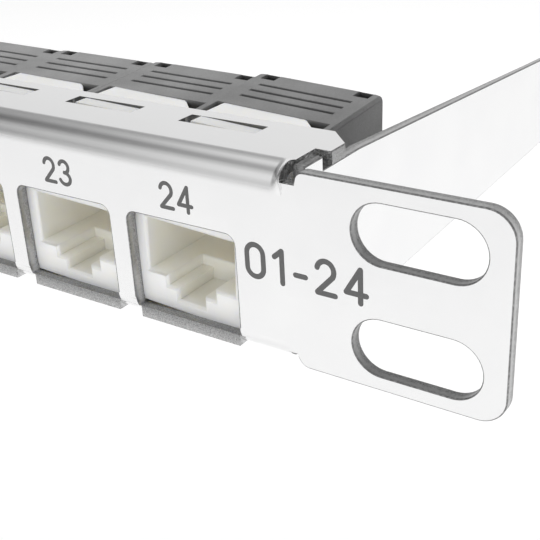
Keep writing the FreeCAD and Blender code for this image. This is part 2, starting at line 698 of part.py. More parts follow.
def contact_wires(doc, size):
    """Eight spring wires per jack: forward under the ceiling, then bent back down into the cavity."""
    half = size["contact_wire"] / 2
    level = size["contact_level"]
    rear = board_front(size)
    bend = size["contact_bend_place"]
    tip, tip_level = size["contact_tip_place"], size["contact_tip_level"]
    run = FreeCAD.Vector(0, tip - bend, tip_level - level).normalize()
    across = FreeCAD.Vector(0, run.z, -run.y) * (2 * half)
    outline = [
        FreeCAD.Vector(0, rear, level + half), FreeCAD.Vector(0, bend - half, level + half),
        FreeCAD.Vector(0, bend - 2 * half, level - half)]
    lower_tip = FreeCAD.Vector(0, tip, tip_level)
    outline += [lower_tip, lower_tip - across, FreeCAD.Vector(0, bend + 3 * half, level - half),
                FreeCAD.Vector(0, rear, level - half)]
    face = Part.Face(Part.makePolygon(outline + outline[:1]))
    wires = []
    for step in range(CONTACT_COUNT):
        place = (step - (CONTACT_COUNT - 1) / 2) * size["contact_pitch"] - half
        solid = face.translated(FreeCAD.Vector(place, 0, 0)).extrude(FreeCAD.Vector(2 * half, 0, 0))
        wires.append(solid)
    return repeat_at_ports(doc, "contact_wires", wires, size)


# ---------------------------------------------------------------- model and files

def build(doc, size):
    parts = [
        front_panel(doc, size),
        side_arm(doc, "side_arm_right", 1, size),
        side_arm(doc, "side_arm_left", -1, size),
        cable_bar(doc, size),
        bar_rivets(doc, size),
        circuit_boards(doc, size),
        idc_blocks(doc, size),
        idc_blades(doc, size),
        contact_wires(doc, size),
    ]
    for number in range(1, int(size["port_count"]) + 1):
        parts.append(jack_housing(doc, number, size))
        parts.append(termination_cap(doc, number, size))
    return parts


def check(doc, parts):
    """Stop if any object failed, or any part's shape isn't a valid solid."""
    doc.recompute()
    for item in doc.Objects:
        if "Invalid" in item.State or "Error" in item.State:
            raise RuntimeError(f"{item.Label} failed: {item.State}")
    for part in parts:
        if part.Shape.isNull() or not part.Shape.isValid() or not part.Shape.Solids:
            raise RuntimeError(f"{part.Label} has no valid solid")


def write(parts):
    os.makedirs("parts", exist_ok=True)
    for part in parts:
        part.Shape.exportStep(f"parts/{part.Label}.step")
        room = part.Shape.BoundBox
        print(f"{part.Label}: {len(part.Shape.Solids)} solids, {part.Shape.Volume:.1f} mm3, "
              f"x {room.XMin:.2f}..{room.XMax:.2f}, y {room.YMin:.2f}..{room.YMax:.2f}, "
              f"z {room.ZMin:.2f}..{room.ZMax:.2f}")


def main():
    doc = FreeCAD.newDocument("patch_panel")
    sheet = make_sheet(doc)
    size = read_sizes(sheet)
    parts = build(doc, size)
    check(doc, parts)
    write(parts)


main()
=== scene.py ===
import math

import bmesh
import bpy
from mathutils import Matrix, Vector, noise


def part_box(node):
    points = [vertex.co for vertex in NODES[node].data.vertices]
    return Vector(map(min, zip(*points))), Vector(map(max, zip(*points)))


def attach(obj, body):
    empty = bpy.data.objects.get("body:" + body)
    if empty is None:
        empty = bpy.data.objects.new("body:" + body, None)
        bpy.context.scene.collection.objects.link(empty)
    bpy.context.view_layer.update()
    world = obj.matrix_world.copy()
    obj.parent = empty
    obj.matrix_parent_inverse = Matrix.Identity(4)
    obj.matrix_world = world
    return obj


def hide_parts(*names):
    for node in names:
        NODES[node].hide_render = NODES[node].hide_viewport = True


# Looks of a half-height 24-port patch panel: satin steel sheet, white jacks, black caps.
# Metres throughout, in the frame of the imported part: front face at y = 0, +z up, +x to the right.

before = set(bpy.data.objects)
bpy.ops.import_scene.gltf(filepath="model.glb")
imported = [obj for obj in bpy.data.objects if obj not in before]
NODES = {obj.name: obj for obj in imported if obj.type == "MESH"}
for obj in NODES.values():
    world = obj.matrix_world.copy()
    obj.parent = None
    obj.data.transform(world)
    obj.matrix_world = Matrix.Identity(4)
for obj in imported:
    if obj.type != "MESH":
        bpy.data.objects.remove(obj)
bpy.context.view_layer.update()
MM = 0.001
FRAME_BODY = "frame"

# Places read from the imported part, and the thickness and bend radii of its folded front.
PANEL_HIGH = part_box("front_panel")[1]
HALF_HEIGHT = PANEL_HIGH.z
SHEET = 1.4 * MM
TOP_BEND = 2.95 * MM
BOTTOM_BEND = 2.6 * MM
EAR_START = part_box("side_arm_right")[1].x - 2.0 * MM
PORTS = [sum(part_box(f"jack_housing_{n:02d}")[end].x for end in (0, 1)) / 2 for n in range(1, 25)]
WINDOWS_END = EAR_START - 3 * MM
JACK_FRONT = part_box("jack_housing_01")[0].y

# Limits for working on the CAD shapes: points to weld, faces to merge, points that lie in a plane.
WELD = 1e-6
FLAT = math.radians(0.8)
IN_PLANE = 0.02 * MM


# ---------------------------------------------------------------- node helpers

class Nodes:
    """A short way to write a material: each call adds a node and returns its output socket."""

    def __init__(self, name):
        self.material = bpy.data.materials.new(name)
        self.material.use_nodes = True
        self.tree = self.material.node_tree
        self.shader = self.tree.nodes["Principled BSDF"]

    def add(self, kind, **settings):
        node = self.tree.nodes.new(kind)
        for key, value in settings.items():
            setattr(node, key, value)
        return node

    def link(self, source, target):
        self.tree.links.new(source, target)

    def feed(self, node, **inputs):
        for key, value in inputs.items():
            socket = node.inputs[key.replace("_", " ")]
            if isinstance(value, bpy.types.NodeSocket):
                self.link(value, socket)
            else:
                socket.default_value = value
        return node

    def place(self, scale=(1, 1, 1)):
        """Object coordinates in millimetres, stretched by a factor along each axis."""
        where = self.add("ShaderNodeTexCoord").outputs["Object"]
        mapping = self.add("ShaderNodeMapping")
        self.feed(mapping, Vector=where, Scale=[1000 * s for s in scale])
        return mapping.outputs[0]

    def noise(self, scale, stretch=(1, 1, 1), detail=2.0, rough=0.5, warp=0.0):
        node = self.add("ShaderNodeTexNoise")
        self.feed(node, Vector=self.place(stretch), Scale=scale, Detail=detail,
                  Roughness=rough, Distortion=warp)
        return node.outputs["Fac"]

    def cells(self, scale, stretch=(1, 1, 1)):
        node = self.add("ShaderNodeTexVoronoi")
        self.feed(node, Vector=self.place(stretch), Scale=scale)
        return node.outputs["Distance"]

    def remap(self, value, low, high, new_low, new_high):
        node = self.add("ShaderNodeMapRange")
        self.feed(node, Value=value)
        numbers = {"From Min": low, "From Max": high, "To Min": new_low, "To Max": new_high}
        for key, number in numbers.items():
            node.inputs[key].default_value = number
        return node.outputs[0]

    def math(self, operation, first, second):
        node = self.add("ShaderNodeMath", operation=operation)
        for index, value in enumerate((first, second)):
            if isinstance(value, bpy.types.NodeSocket):
                self.link(value, node.inputs[index])
            else:
                node.inputs[index].default_value = value
        return node.outputs[0]

    def ramp(self, value, stops):
        """A colour ramp; each stop is a place and a grey level or a colour."""
        node = self.add("ShaderNodeValToRGB")
        self.feed(node, Fac=value)
        points = node.color_ramp.elements
        while len(points) < len(stops):
            points.new(0.5)
        for point, (place, colour) in zip(points, stops):
            point.position = place
            rgb = colour if isinstance(colour, tuple) else (colour,) * 3
            point.color = (*rgb, 1)
        return node.outputs["Color"]

    def mix(self, factor, first, second, blend="MIX"):
        node = self.add("ShaderNodeMix", data_type="RGBA", blend_type=blend)
        for index, value in ((0, factor), (6, first), (7, second)):
            if isinstance(value, bpy.types.NodeSocket):
                self.link(value, node.inputs[index])
            elif isinstance(value, tuple):
                node.inputs[index].default_value = (*value, 1)
            else:
                node.inputs[index].default_value = value
        return node.outputs[2]

    def bump(self, height, distance, strength=1.0, under=None):
        node = self.add("ShaderNodeBump")
        self.feed(node, Height=height, Distance=distance * MM, Strength=strength)
        if under is not None:
            self.link(under, node.inputs["Normal"])
        return node.outputs[0]

    def finish(self, **inputs):
        self.feed(self.shader, **inputs)
        return self.material


# ---------------------------------------------------------------- materials

def satin_steel():
    """Rolled and lightly brushed sheet: nearly white, with a fine grain along the panel."""
    n = Nodes("satin_steel")
    grain = n.noise(5.0, stretch=(0.04, 1, 1), detail=4, rough=0.65)
    fine = n.noise(16.0, stretch=(0.08, 1, 1), detail=2)
    cloud = n.noise(0.11, detail=3, rough=0.55)
    speck = n.noise(22.0, detail=1)
    base = n.ramp(cloud, [(0.3, (0.872, 0.872, 0.875)), (0.7, (0.905, 0.905, 0.905))])
    base = n.mix(0.16, base, n.ramp(grain, [(0.3, 0.80), (0.7, 0.97)]), "MULTIPLY")
    rough = n.remap(n.math("ADD", n.math("MULTIPLY", grain, 0.6), n.math("MULTIPLY", cloud, 0.4)),
                    0.3, 0.7, 0.15, 0.23)
    height = n.math("ADD", n.math("MULTIPLY", grain, 0.7), n.math("MULTIPLY", fine, 0.3))
    low = n.bump(height, 0.0025, 0.5)
    return n.finish(Base_Color=base, Metallic=1.0, Roughness=rough,
                    Normal=n.bump(speck, 0.0015, 0.35, under=low))


def sheared_steel():
    """Cut edge of the sheet: a burnished band by the punched face, then a torn, speckled one."""
    n = Nodes("sheared_steel")
    depth = n.add("ShaderNodeAttribute", attribute_name="sheet_depth").outputs["Fac"]
    shade = n.add("ShaderNodeAttribute", attribute_name="edge_shade").outputs["Fac"]
    drag = n.noise(2.6, stretch=(1.0, 0.25, 1.0), detail=4, rough=0.65)
    tear = n.noise(7.0, detail=5, rough=0.72, warp=0.3)
    pits = n.cells(4.5)
    wander = n.math("ADD", depth, n.remap(n.noise(1.1, detail=3), 0.3, 0.7, -0.07, 0.07))
    zone = n.ramp(wander, [(0.0, 0.34), (0.08, 0.46), (0.25, 0.52), (0.45, 0.50), (0.56, 0.43),
                           (0.88, 0.40), (0.97, 0.30)])
    torn = n.remap(wander, 0.42, 0.58, 0.25, 1.0)
    streak = n.ramp(drag, [(0.32, 0.86), (0.5, 1.0), (0.7, 1.08)])
    speckle = n.ramp(tear, [(0.38, 0.55), (0.48, 0.95), (0.60, 1.38)])
    base = n.mix(0.8, zone, streak, "MULTIPLY")
    base = n.mix(torn, base, speckle, "MULTIPLY")
    base = n.mix(n.math("MULTIPLY", torn, 0.35), base, n.ramp(pits, [(0.05, 0.55), (0.3, 1.0)]), "MULTIPLY")
    # edge_shade carries painted shade and painted light on the cut edges.
    base = n.mix(1.0, base, shade, "MULTIPLY")
    low = n.bump(n.math("MULTIPLY", tear, torn), 0.03, 0.7)
    return n.finish(Base_Color=base, Metallic=0.9, Roughness=n.remap(torn, 0, 1, 0.34, 0.5),
                    Normal=n.bump(drag, 0.012, 0.5, under=low))


def rolled_rim():
    """The drawn-in rim where a cut starts: a thin line with a few bright nicks. Its rounding reflects some
    dark itself, and its colour is painted darker still as painted reflection.
    """
    n = Nodes("rolled_rim")
    nick = n.noise(3.0, detail=4, rough=0.7)
    base = n.ramp(nick, [(0.3, 0.14), (0.5, 0.24), (0.68, 0.44)])
    return n.finish(Base_Color=base, Metallic=0.9, Roughness=n.remap(nick, 0.3, 0.7, 0.32, 0.46),
                    Normal=n.bump(nick, 0.012, 0.5))


def printed_ink():
    """Screen-printed dark grey ink, slightly uneven over the grain of the steel."""
    n = Nodes("printed_ink")
    blot = n.noise(4.0, detail=4, rough=0.7)
    base = n.ramp(blot, [(0.3, 0.095), (0.55, 0.115), (0.75, 0.16)])
    return n.finish(Base_Color=base, Roughness=n.remap(blot, 0.3, 0.7, 0.42, 0.6),
                    Normal=n.bump(n.noise(12.0, detail=3), 0.01, 0.5))


def white_plastic():
    """White moulded plastic, slightly translucent: soft sheen, flow marks, a fine eroded grain. Its colour
    holds painted shade: cream inside the jack against a neutral white front, grey on the crown, darker
    towards the bottom by the lip and at the lug's top.
    """
    n = Nodes("white_plastic")
    flow = n.noise(0.35, stretch=(1, 0.4, 1), detail=3)
    grain = n.noise(14.0, detail=3, rough=0.6)
    where = n.add("ShaderNodeSeparateXYZ")
    n.link(n.place(), where.inputs[0])
    # Painted shade: the upper part of the jack, the crown, is painted grey.
    crown = n.remap(where.outputs["Z"], 2.5, 6.0, 0.0, 1.0)
    front = n.remap(where.outputs["Y"], 1.6, 3.2, 1.0, 0.0)
    # Painted shade: cream inside the jack, a neutral white on its lit front.
    cream_painted_shade = n.ramp(flow, [(0.3, (0.935, 0.920, 0.835)), (0.7, (0.955, 0.943, 0.875))])
    crown_painted_shade = n.ramp(flow, [(0.3, (0.765, 0.765, 0.755)), (0.7, (0.80, 0.80, 0.79))])
    base = n.mix(front, cream_painted_shade, (0.93, 0.93, 0.915))
    base = n.mix(crown, base, crown_painted_shade)
    # Painted shade: darker towards the bottom, under the flange's lip.
    base = n.mix(1.0, base, n.remap(where.outputs["Z"], -9.0, -6.5, 0.86, 1.0), "MULTIPLY")
    # Painted shade: darker at the top of the latch lug, in its slot.
    base = n.mix(1.0, base, n.remap(where.outputs["Z"], 10.2, 10.7, 1.0, 0.86), "MULTIPLY")
    base = n.mix(0.25, base, n.ramp(grain, [(0.35, 0.94), (0.6, 1.0)]), "MULTIPLY")
    low = n.bump(grain, 0.006, 0.5)
    n.shader.inputs["Subsurface Weight"].default_value = 0.45
    n.shader.inputs["Subsurface Radius"].default_value = (1.0, 0.92, 0.66)
    n.shader.inputs["Subsurface Scale"].default_value = 1.3 * MM
    return n.finish(Base_Color=base, Roughness=n.remap(flow, 0.3, 0.7, 0.40, 0.50),
                    Normal=n.bump(n.noise(0.9, detail=2), 0.02, 0.3, under=low))


def black_plastic():
    """Black moulded plastic with a spark-eroded grain that catches the light."""
    n = Nodes("black_plastic")
    grain = n.noise(9.0, detail=4, rough=0.65)
    pits = n.cells(7.0)
    dust = n.noise(1.3, detail=5, rough=0.7)
    base = n.ramp(grain, [(0.3, 0.13), (0.55, 0.175), (0.72, 0.225)])
    base = n.mix(0.35, base, n.ramp(dust, [(0.4, 0.85), (0.65, 1.2)]), "MULTIPLY")
    base = n.mix(0.5, base, n.ramp(n.noise(0.14, detail=2), [(0.35, 0.72), (0.65, 1.25)]), "MULTIPLY")
    # inner_shade: painted shade inside the caps, in their pockets and grooves.
    shade = n.add("ShaderNodeAttribute", attribute_name="inner_shade").outputs["Fac"]
    base = n.mix(1.0, base, shade, "MULTIPLY")
    # Painted sheen: caps to the left of port 24 are painted up to 1.45 times lighter.
    where = n.add("ShaderNodeSeparateXYZ")
    n.link(n.add("ShaderNodeNewGeometry").outputs["Position"], where.inputs[0])
    base = n.mix(1.0, base, n.remap(where.outputs["X"], 0.165, 0.205, 1.45, 1.0), "MULTIPLY")
    low = n.bump(grain, 0.016, 0.6)
    n.shader.inputs["Specular IOR Level"].default_value = 0.9
    return n.finish(Base_Color=base, Roughness=n.remap(dust, 0.3, 0.7, 0.42, 0.55),
                    Normal=n.bump(pits, 0.010, 0.5, under=low))


def block_plastic():
    """Off-white plastic of the block inside a cap, with a dull, fine grain."""
    n = Nodes("block_plastic")
    grain = n.noise(11.0, detail=3)
    base = n.ramp(grain, [(0.3, (0.74, 0.73, 0.68)), (0.7, (0.82, 0.81, 0.76))])
    return n.finish(Base_Color=base, Roughness=n.remap(grain, 0.3, 0.7, 0.42, 0.54),
                    Normal=n.bump(grain, 0.01, 0.5))


def laminate():
    """Green glass-fibre board: woven fibres under a glossy mask."""
    n = Nodes("laminate")
    warp = n.noise(2.6, stretch=(4, 1, 0.3), detail=1)
    weft = n.noise(2.6, stretch=(0.3, 1, 4), detail=1)
    weave = n.math("ADD", n.math("MULTIPLY", warp, 0.5), n.math("MULTIPLY", weft, 0.5))
    base = n.ramp(weave, [(0.35, (0.012, 0.085, 0.035)), (0.65, (0.03, 0.15, 0.06))])
    return n.finish(Base_Color=base, Roughness=n.remap(weave, 0.3, 0.7, 0.24, 0.36),
                    Normal=n.bump(weave, 0.015, 0.5))


def drawn_metal(name, dark, light, rough):
    """Drawn or rolled contact metal with fine lengthwise lines."""
    n = Nodes(name)
    lines = n.noise(9.0, stretch=(1, 0.08, 1), detail=3, rough=0.6)
    cloud = n.noise(0.8, detail=3)
    base = n.ramp(n.math("MULTIPLY", n.math("ADD", lines, cloud), 0.5), [(0.35, dark), (0.65, light)])
    return n.finish(Base_Color=base, Metallic=1.0, Roughness=n.remap(lines, 0.3, 0.7, rough, rough + 0.14),
                    Normal=n.bump(lines, 0.006, 0.5))


# ---------------------------------------------------------------- mesh helpers

def cad_shape(node):
    """The CAD node's surface with its triangles welded and merged back into flat faces."""
    work = bmesh.new()
    work.from_mesh(NODES[node].data)
    bmesh.ops.remove_doubles(work, verts=work.verts, dist=WELD)
    bmesh.ops.dissolve_limit(work, angle_limit=FLAT, verts=work.verts, edges=work.edges)
    work.normal_update()
    return work


def sharp_edges(work, angle=32, wanted=None):
    """Edges whose two faces meet at more than an angle and that pass a test on their middle."""
    found = []
    for edge in work.edges:
        if len(edge.link_faces) != 2 or edge.calc_face_angle(0) < math.radians(angle):
            continue
        if wanted is None or wanted((edge.verts[0].co + edge.verts[1].co) / 2, edge):
            found.append(edge)
    return found


def round_edges(work, edges, radius, segments=2, material=-1, clamp=True):
    bmesh.ops.bevel(work, geom=edges, offset=radius, offset_type="OFFSET", segments=segments,
                    profile=0.5, affect="EDGES", clamp_overlap=clamp, material=material)
    work.normal_update()


def make_mesh(name, work, materials):
    mesh = bpy.data.meshes.new(name)
    for face in work.faces:
        face.smooth = True
    work.to_mesh(mesh)
    work.free()
    for material in materials:
        mesh.materials.append(material)
    return mesh


def make_piece(name, mesh, body, replaced=(), place=Matrix()):
    piece = bpy.data.objects.new(name, mesh)
    piece.matrix_world = place
    bpy.context.scene.collection.objects.link(piece)
    weighted = piece.modifiers.new("even_shading", "WEIGHTED_NORMAL")
    weighted.keep_sharp = True
    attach(piece, body)
    if replaced:
        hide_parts(*replaced)
    return piece


# ---------------------------------------------------------------- the folded sheet

# Width of the drawn-in rim, and the depth and top of the small steps beside the relief notches.
RIM = 0.14 * MM
STEP_DEPTH = 0.36 * MM
STEP_TOP = 9.5 * MM


def on_lip(point):
    """True on the cut front edge of the lower flange inside the port windows."""
    return point.z < -9.5 * MM and 0.1 * MM < point.y < 0.6 * MM and abs(point.x) < WINDOWS_END


def sheet_depth(point):
    """How deep a point lies in the sheet: 0 at the outer skin, 1 at the inner one."""
    height = abs(point.z)
    if on_lip(point):
        return 0.9 - 0.3 * (HALF_HEIGHT - height) / SHEET
    bend = TOP_BEND if point.z > 0 else BOTTOM_BEND
    if abs(point.x) > EAR_START or height < HALF_HEIGHT - bend:
        return point.y / SHEET
    if point.y > bend:
        return (HALF_HEIGHT - height) / SHEET
    reach = math.hypot(point.y - bend, height - (HALF_HEIGHT - bend))
    return (bend - reach) / SHEET


def is_skin(face):
    """True for the rolled surfaces of the sheet, False for its cut edges."""
    normal, middle = face.normal, face.calc_center_median()
    beside_notch = abs(abs(middle.x) - EAR_START) < 0.1 * MM and middle.y < STEP_DEPTH
    if abs(normal.x) > 0.99 and beside_notch:
        return abs(middle.z) < STEP_TOP
    if abs(normal.y) > 0.99:
        return min(abs(middle.y), abs(middle.y - SHEET)) < IN_PLANE
    if abs(normal.z) > 0.99:
        level = abs(middle.z)
        at_skin = min(abs(level - HALF_HEIGHT), abs(level - HALF_HEIGHT + SHEET)) < IN_PLANE
        return at_skin and middle.y > SHEET
    return abs(normal.x) < 0.02 and abs(normal.y) > 0.02 and abs(normal.z) > 0.02


def edge_shade(point):
    """Painted shade and light on the cut edges: painted shade inside the punched slots, painted light on
    the flange's tabs.

    The lips of the windows get painted shade at the inner skin and painted light at the outer one; the
    strip of flange in front of the jacks gets a little painted shade."""
    across, level = abs(point.x), abs(point.z)
    if on_lip(point):
        return 1.28 - 0.54 * (HALF_HEIGHT - level) / SHEET
    above_flange = point.z < 0 and level < HALF_HEIGHT - SHEET + 0.1 * MM
    if above_flange and across < WINDOWS_END and point.y < JACK_FRONT:
        return 0.95
    if point.y > 3 * MM and across > EAR_START:
        return 1.35
    in_rack_slot = EAR_START + 6 * MM < across < PANEL_HIGH.x - 2 * MM and 2.5 * MM < level < 9.8 * MM
    in_latch_slot = across < EAR_START and 7 * MM < point.y < 11 * MM
    return 0.62 if in_rack_slot or in_latch_slot else 1.0


def paint(mesh, name, rule):
    layer = mesh.attributes.new(name, "FLOAT", "POINT")
    layer.data.foreach_set("value", [rule(vertex.co) for vertex in mesh.vertices])


# Torn faces: rounds of cutting, grains per millimetre, and how much of a push a border point takes.
TEAR_PASSES = 9
COARSE_GRAIN = 1.3
FINE_GRAIN = 5.5
BORDER_PUSH = 0.35


def tear_faces(work, chosen, cell, height, seed):
    """Cut the faces that pass a test into small cells and push their points about, as if torn."""
    mark = work.faces.layers.int.new(f"torn_{seed}")
    for face in work.faces:
        face[mark] = int(chosen(face))
    for _ in range(TEAR_PASSES):
        rough = [face for face in work.faces if face[mark] and len(face.verts) > 3]
        bmesh.ops.triangulate(work, faces=rough)
        torn = [face for face in work.faces if face[mark]]
        long = {edge for face in torn for edge in face.edges if edge.calc_length() > cell}
        if not long:
            break
        bmesh.ops.subdivide_edges(work, edges=sorted(long, key=lambda edge: edge.index), cuts=1)
        work.edges.index_update()
    work.normal_update()
    moves = []
    for vertex in {corner for face in work.faces if face[mark] for corner in face.verts}:
        inside = all(face[mark] for face in vertex.link_faces)
        away = sum((face.normal for face in vertex.link_faces if face[mark]), Vector()).normalized()
        spot = vertex.co / MM + Vector((seed, 0, 0))
        push = noise.fractal(spot * COARSE_GRAIN, 0.8, 2.2, 5) + 0.5 * noise.noise(spot * FINE_GRAIN)
        moves.append((vertex, away * push * height * (1 if inside else BORDER_PUSH)))
    for vertex, move in moves:
        vertex.co += move
    work.normal_update()


# The bulge at the end of the bend: its height, its length, and where it is cut, in mm from the end.
SWELL = 0.8 * MM
SWELL_REACH = 1.4 * MM
SWELL_CUTS = (1.4, 1.1, 0.85, 0.6, 0.4, 0.2)


def swell_bend_ends(work):
    """The sheet bulges outwards where the upper bend ends at the relief notches.

    The bend is first cut into narrow strips there. The flat ear beside it stays flat."""
    for inside in SWELL_CUTS:
        for side in (-1, 1):
            bend = [face for face in work.faces if face.calc_center_median().z > 0
                    and min(corner.co.y for corner in face.verts) < TOP_BEND + 0.1 * MM
                    and max(corner.co.z for corner in face.verts) > HALF_HEIGHT - TOP_BEND - 0.1 * MM]
            geometry = list({part for face in bend for part in [face, *face.edges, *face.verts]})
            bmesh.ops.bisect_plane(work, geom=geometry, plane_co=(side * (EAR_START - inside * MM), 0, 0),
                                   plane_no=(1, 0, 0))
    for vertex in work.verts:
        nearness = (abs(vertex.co.x) - EAR_START + SWELL_REACH) / SWELL_REACH
        back, up = TOP_BEND - vertex.co.y, vertex.co.z - (HALF_HEIGHT - TOP_BEND)
        on_ear = min(abs(vertex.co.y), abs(vertex.co.y - SHEET)) < 0.01 * MM
        if not 0 < nearness < 1.01 or back <= 0 or up <= 0 or on_ear:
            continue
        reach = math.hypot(back, up)
        bulge = SWELL * nearness ** 2 * (2 * back * up / reach ** 2) ** 1.2
        vertex.co.y -= bulge * back / reach
        vertex.co.z += bulge * up / reach
    work.normal_update()


def burnish_lips(work):
    """The strip of the lower flange in front of the jacks gets painted shade: split it off and give it the
    cut edge's darker material.
    """
    level = SHEET - HALF_HEIGHT
    floor = [face for face in work.faces
             if face.normal.z > 0.99 and abs(face.calc_center_median().z - level) < IN_PLANE]
    geometry = list({part for face in floor for part in [face, *face.edges, *face.verts]})
    bmesh.ops.bisect_plane(work, geom=geometry, plane_co=(0, JACK_FRONT, 0), plane_no=(0, 1, 0))
    for face in work.faces:
        middle = face.calc_center_median()
        if face.normal.z > 0.99 and abs(middle.z - level) < IN_PLANE and middle.y < JACK_FRONT:
            face.material_index = 1


# The wide rim of the ears starts this far from the body: nearer by the notches than on the outline.
RIM_BY_NOTCH = 1.3 * MM
RIM_ELSEWHERE = 3.2 * MM
NOTCH_LEVEL = 9.65 * MM
NOTCH_REACH = 1.7 * MM


def panel_sheet(skin, cut, rim_metal):
    """The folded front: skin, torn cuts, and a rim between them, wide where nothing is close by."""
    work = cad_shape("front_panel")
    for face in work.faces:
        face.material_index = 0 if is_skin(face) else 1
    burnish_lips(work)
    swell_bend_ends(work)

    def rim(middle, edge):
        return len({face.material_index for face in edge.link_faces}) == 2

    def wide_rim(middle, edge):
        ends = [end.co for end in edge.verts]
        on_ear = all(abs(end.x) > EAR_START + (RIM_BY_NOTCH if abs(end.z) > NOTCH_LEVEL else RIM_ELSEWHERE)
                     for end in ends)
        round_window = all(end.y < 0.01 * MM and end.z > BOTTOM_BEND - HALF_HEIGHT - 0.01 * MM
                           and abs(end.x) < WINDOWS_END for end in ends)
        return (on_ear or round_window) and rim(middle, edge)
    round_edges(work, sharp_edges(work, wanted=wide_rim), RIM, segments=3, material=2, clamp=False)
    round_edges(work, sharp_edges(work, wanted=rim), RIM, segments=3, material=2)

    def is_lip(face):
        middle = face.calc_center_median()
        return face.normal.y < -0.99 and 0.2 * MM < middle.y < 0.4 * MM and face.calc_area() > 1 * MM * MM

    def in_relief(face):
        middle = face.calc_center_median()
        beside = EAR_START - 0.1 * MM < abs(middle.x) < EAR_START + NOTCH_REACH
        return face.material_index == 1 and beside and abs(middle.z) > 9 * MM and middle.y < 7 * MM
    tear_faces(work, is_lip, cell=0.2 * MM, height=0.04 * MM, seed=3)
    tear_faces(work, in_relief, cell=0.1 * MM, height=0.14 * MM, seed=8)
    # The small steps beside the notches meet the bend at a sharp edge.
    for face in work.faces:
        if face.material_index == 0 and abs(face.normal.x) > 0.99:
            for edge in face.edges:
                edge.smooth = False
    mesh = make_mesh("panel_sheet", work, [skin, cut, rim_metal])
    paint(mesh, "sheet_depth", sheet_depth)
    paint(mesh, "edge_shade", edge_shade)
    return make_piece("panel_sheet", mesh, FRAME_BODY, ["front_panel"])


# Depths between which the roll grows, the millimetres at its start and those added by its end.
ROLL_START = 12.5 * MM
ROLL_END = 61 * MM
ROLL_FIRST = 0.08
ROLL_GROWTH = 0.62


def roll_inner_edge(work, inner, outward):
    """The punch drew the arm's inner upper edge down, more and more towards the rear."""
    def drawn(depth):
        share = min(1, max(0, (depth - ROLL_START) / (ROLL_END - ROLL_START)))
        return (ROLL_FIRST + ROLL_GROWTH * share) * MM

    def slope():
        """The faces of the arm's sloping upper edge, from the front to the rear."""
        found = [face for face in work.faces
                 if 0.9 < face.normal.z < 0.99999 and abs(face.normal.x) < 0.01]
        return sorted(found, key=lambda face: face.calc_center_median().y)
    geometry = list({part for face in slope() for part in [face, *face.edges, *face.verts]})
    bmesh.ops.bisect_plane(work, geom=geometry, plane_co=(0, ROLL_END, 0), plane_no=(0, 1, 0))
    for face in slope():
        depths = [corner.co.y for corner in face.verts]
        start, end = min(depths), max(depths)
        if end - start < 5 * MM:
            continue
        first = Vector((inner + outward * drawn(start), start, 0))
        along = Vector((inner + outward * drawn(end), end, 0)) - first
        bmesh.ops.bisect_plane(work, geom=[face, *face.edges, *face.verts], plane_co=first,
                               plane_no=(along.y, -along.x, 0))
    for face in slope():
        for corner in face.verts:
            corner.tag = abs(corner.co.x - inner) < WELD
    for vertex in work.verts:
        if vertex.tag:
            vertex.co.z -= drawn(vertex.co.y)
            vertex.tag = False
    work.normal_update()


ARM_FRONT = 5 * MM


def arm_sheet(side, skin, cut, rim_metal):
    node = f"side_arm_{side}"
    low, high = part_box(node)
    outer, inner = (high.x, low.x) if side == "right" else (low.x, high.x)
    work = cad_shape(node)
    roll_inner_edge(work, inner, math.copysign(1, outer))
    for face in work.faces:
        face.material_index = 0 if abs(face.normal.x) > 0.99 else 1

    def rim(middle, edge):
        return len({face.material_index for face in edge.link_faces}) == 2
    round_edges(work, sharp_edges(work, wanted=rim), RIM, segments=3, material=2, clamp=False)

    def at_front(face):
        middle = face.calc_center_median()
        return face.material_index == 1 and middle.y < ARM_FRONT and middle.z > 9 * MM
    tear_faces(work, at_front, cell=0.16 * MM, height=0.12 * MM, seed=5)
    mesh = make_mesh(f"arm_sheet_{side}", work, [skin, cut, rim_metal])
    paint(mesh, "sheet_depth", lambda point: abs(outer - point.x) / (high.x - low.x))
    # Painted shade on the cut edges at the arm's front, under the flange's tab.
    paint(mesh, "edge_shade", lambda point: 0.6 if point.y < ARM_FRONT else 1.0)
    return make_piece(f"arm_sheet_{side}", mesh, FRAME_BODY, [node])


BAR_SHEET = 1.2 * MM


def bar_sheet(skin, cut):
    low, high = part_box("cable_bar")
    work = cad_shape("cable_bar")
    for face in work.faces:
        middle = face.calc_center_median()
        slot_wall = abs(face.normal.z) < 0.02 and low.y + 3 * MM < middle.y < high.y - 3 * MM
        bottom = face.normal.z < -0.99 and middle.z < high.z - 2 * MM
        face.material_index = 1 if (slot_wall and abs(face.normal.x) < 0.9) or bottom else 0
    round_edges(work, sharp_edges(work), 0.08 * MM)
    mesh = make_mesh("bar_sheet", work, [skin, cut])
    paint(mesh, "sheet_depth", lambda point: min(1, max(0, (high.z - point.z) / BAR_SHEET)))
    paint(mesh, "edge_shade", lambda point: 1.0)
    return make_piece("bar_sheet", mesh, FRAME_BODY, ["cable_bar"])


# ---------------------------------------------------------------- jacks and caps

def centred(work, middle):
    bmesh.ops.translate(work, verts=work.verts, vec=Vector((-middle, 0, 0)))


# How a jack and its cap sit: the roll of each to the right, the cap's rise to the rear, in degrees,
# and the cap's shift along the panel in millimetres. The other ports differ a little from one another.
SETTLED = {24: (2.8, 2.8, 3.6, -0.05), 23: (1.8, 1.0, 3.3, 0.12), 22: (1.0, 0.5, 3.2, -0.05),
           21: (0.8, 0.7, 3.0, 0.05)}


def port_lean(number):
    wave = noise.noise(Vector((number * 0.73, 4.2, 0)))
    lift = noise.noise(Vector((number * 0.61, 0, 7.7)))
    return SETTLED.get(number, (0.7 + 0.5 * wave, 0.6 + 0.4 * wave, 3.0 + 0.8 * lift, 0.0))


